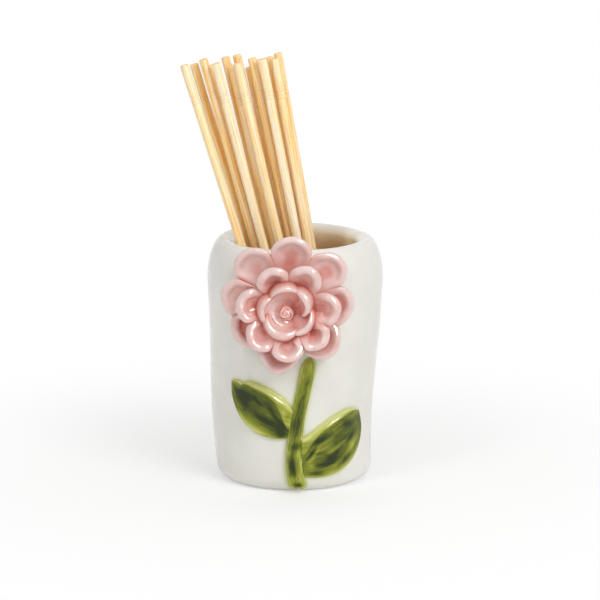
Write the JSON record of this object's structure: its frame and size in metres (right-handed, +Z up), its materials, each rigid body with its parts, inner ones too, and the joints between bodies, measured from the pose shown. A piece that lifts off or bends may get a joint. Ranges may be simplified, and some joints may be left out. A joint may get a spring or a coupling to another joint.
{
  "type": "toothpick holder",
  "caption": "Tapered glazed ceramic cup with a rolled lip and a layered flower, stem and leaves in relief, holding a leaning bundle of wooden picks that lift out.",
  "frame": {"origin": "centre of the foot ring, on the plane that the cup stands on", "axes": "+Z up through the mouth; -Y is the front, where the flower is; +X is to the right of a viewer at the front"},
  "size_m": [0.0569, 0.061, 0.1226],
  "materials": {
    "white_glaze": "glossy white glaze over a cream body",
    "pink_glaze": "glossy pink glaze, pale on the lips and deeper in the hollows",
    "green_glaze": "glossy green glaze laid on with brush strokes",
    "pale_wood": "bare turned wood"
  },
  "bodies": {
    "holder": {"cup": "white_glaze", "flower_pad": "pink_glaze", "flower_bud": "pink_glaze", "outer_petal_1": "pink_glaze", "outer_petal_2": "pink_glaze", "outer_petal_3": "pink_glaze", "outer_petal_4": "pink_glaze", "outer_petal_5": "pink_glaze", "outer_petal_6": "pink_glaze", "outer_petal_7": "pink_glaze", "outer_petal_8": "pink_glaze", "middle_petal_1": "pink_glaze", "middle_petal_2": "pink_glaze", "middle_petal_3": "pink_glaze", "middle_petal_4": "pink_glaze", "middle_petal_5": "pink_glaze", "middle_petal_6": "pink_glaze", "middle_petal_7": "pink_glaze", "inner_petal_1": "pink_glaze", "inner_petal_2": "pink_glaze", "inner_petal_3": "pink_glaze", "inner_petal_4": "pink_glaze", "inner_petal_5": "pink_glaze", "stem": "green_glaze", "leaf_left": "green_glaze", "leaf_right": "green_glaze"},
    "pick_01": {"toothpick_01": "pale_wood"},
    "pick_02": {"toothpick_02": "pale_wood"},
    "pick_03": {"toothpick_03": "pale_wood"},
    "pick_04": {"toothpick_04": "pale_wood"},
    "pick_05": {"toothpick_05": "pale_wood"},
    "pick_06": {"toothpick_06": "pale_wood"},
    "pick_07": {"toothpick_07": "pale_wood"},
    "pick_08": {"toothpick_08": "pale_wood"},
    "pick_09": {"toothpick_09": "pale_wood"},
    "pick_10": {"toothpick_10": "pale_wood"},
    "pick_11": {"toothpick_11": "pale_wood"},
    "pick_12": {"toothpick_12": "pale_wood"},
    "pick_13": {"toothpick_13": "pale_wood"},
    "pick_14": {"toothpick_14": "pale_wood"},
    "pick_15": {"toothpick_15": "pale_wood"},
    "pick_16": {"toothpick_16": "pale_wood"}
  },
  "joints": [
    {"name": "pick_01_lift", "type": "slide", "parent": "holder", "child": "pick_01", "axis": [-0.2935, -0.0046, 0.9559], "range_m": [0, 0.075]},
    {"name": "pick_02_lift", "type": "slide", "parent": "holder", "child": "pick_02", "axis": [-0.281, 0.0015, 0.9597], "range_m": [0, 0.075]},
    {"name": "pick_03_lift", "type": "slide", "parent": "holder", "child": "pick_03", "axis": [-0.2618, -0.0016, 0.9651], "range_m": [0, 0.075]},
    {"name": "pick_04_lift", "type": "slide", "parent": "holder", "child": "pick_04", "axis": [-0.2559, 0.0047, 0.9667], "range_m": [0, 0.075]},
    {"name": "pick_05_lift", "type": "slide", "parent": "holder", "child": "pick_05", "axis": [-0.2462, -0.0047, 0.9692], "range_m": [0, 0.075]},
    {"name": "pick_06_lift", "type": "slide", "parent": "holder", "child": "pick_06", "axis": [-0.2306, 0.0016, 0.9731], "range_m": [0, 0.075]},
    {"name": "pick_07_lift", "type": "slide", "parent": "holder", "child": "pick_07", "axis": [-0.2256, -0.0016, 0.9742], "range_m": [0, 0.075]},
    {"name": "pick_08_lift", "type": "slide", "parent": "holder", "child": "pick_08", "axis": [-0.2168, 0.0047, 0.9762], "range_m": [0, 0.075]},
    {"name": "pick_09_lift", "type": "slide", "parent": "holder", "child": "pick_09", "axis": [-0.2211, -0.0047, 0.9752], "range_m": [0, 0.075]},
    {"name": "pick_10_lift", "type": "slide", "parent": "holder", "child": "pick_10", "axis": [-0.2048, 0.0016, 0.9788], "range_m": [0, 0.075]},
    {"name": "pick_11_lift", "type": "slide", "parent": "holder", "child": "pick_11", "axis": [-0.1993, -0.0016, 0.9799], "range_m": [0, 0.075]},
    {"name": "pick_12_lift", "type": "slide", "parent": "holder", "child": "pick_12", "axis": [-0.1953, 0.0047, 0.9807], "range_m": [0, 0.075]},
    {"name": "pick_13_lift", "type": "slide", "parent": "holder", "child": "pick_13", "axis": [-0.1872, -0.0047, 0.9823], "range_m": [0, 0.075]},
    {"name": "pick_14_lift", "type": "slide", "parent": "holder", "child": "pick_14", "axis": [-0.1786, 0.0016, 0.9839], "range_m": [0, 0.075]},
    {"name": "pick_15_lift", "type": "slide", "parent": "holder", "child": "pick_15", "axis": [-0.1723, -0.0016, 0.985], "range_m": [0, 0.075]},
    {"name": "pick_16_lift", "type": "slide", "parent": "holder", "child": "pick_16", "axis": [-0.1698, 0.0048, 0.9855], "range_m": [0, 0.075]}
  ]
}
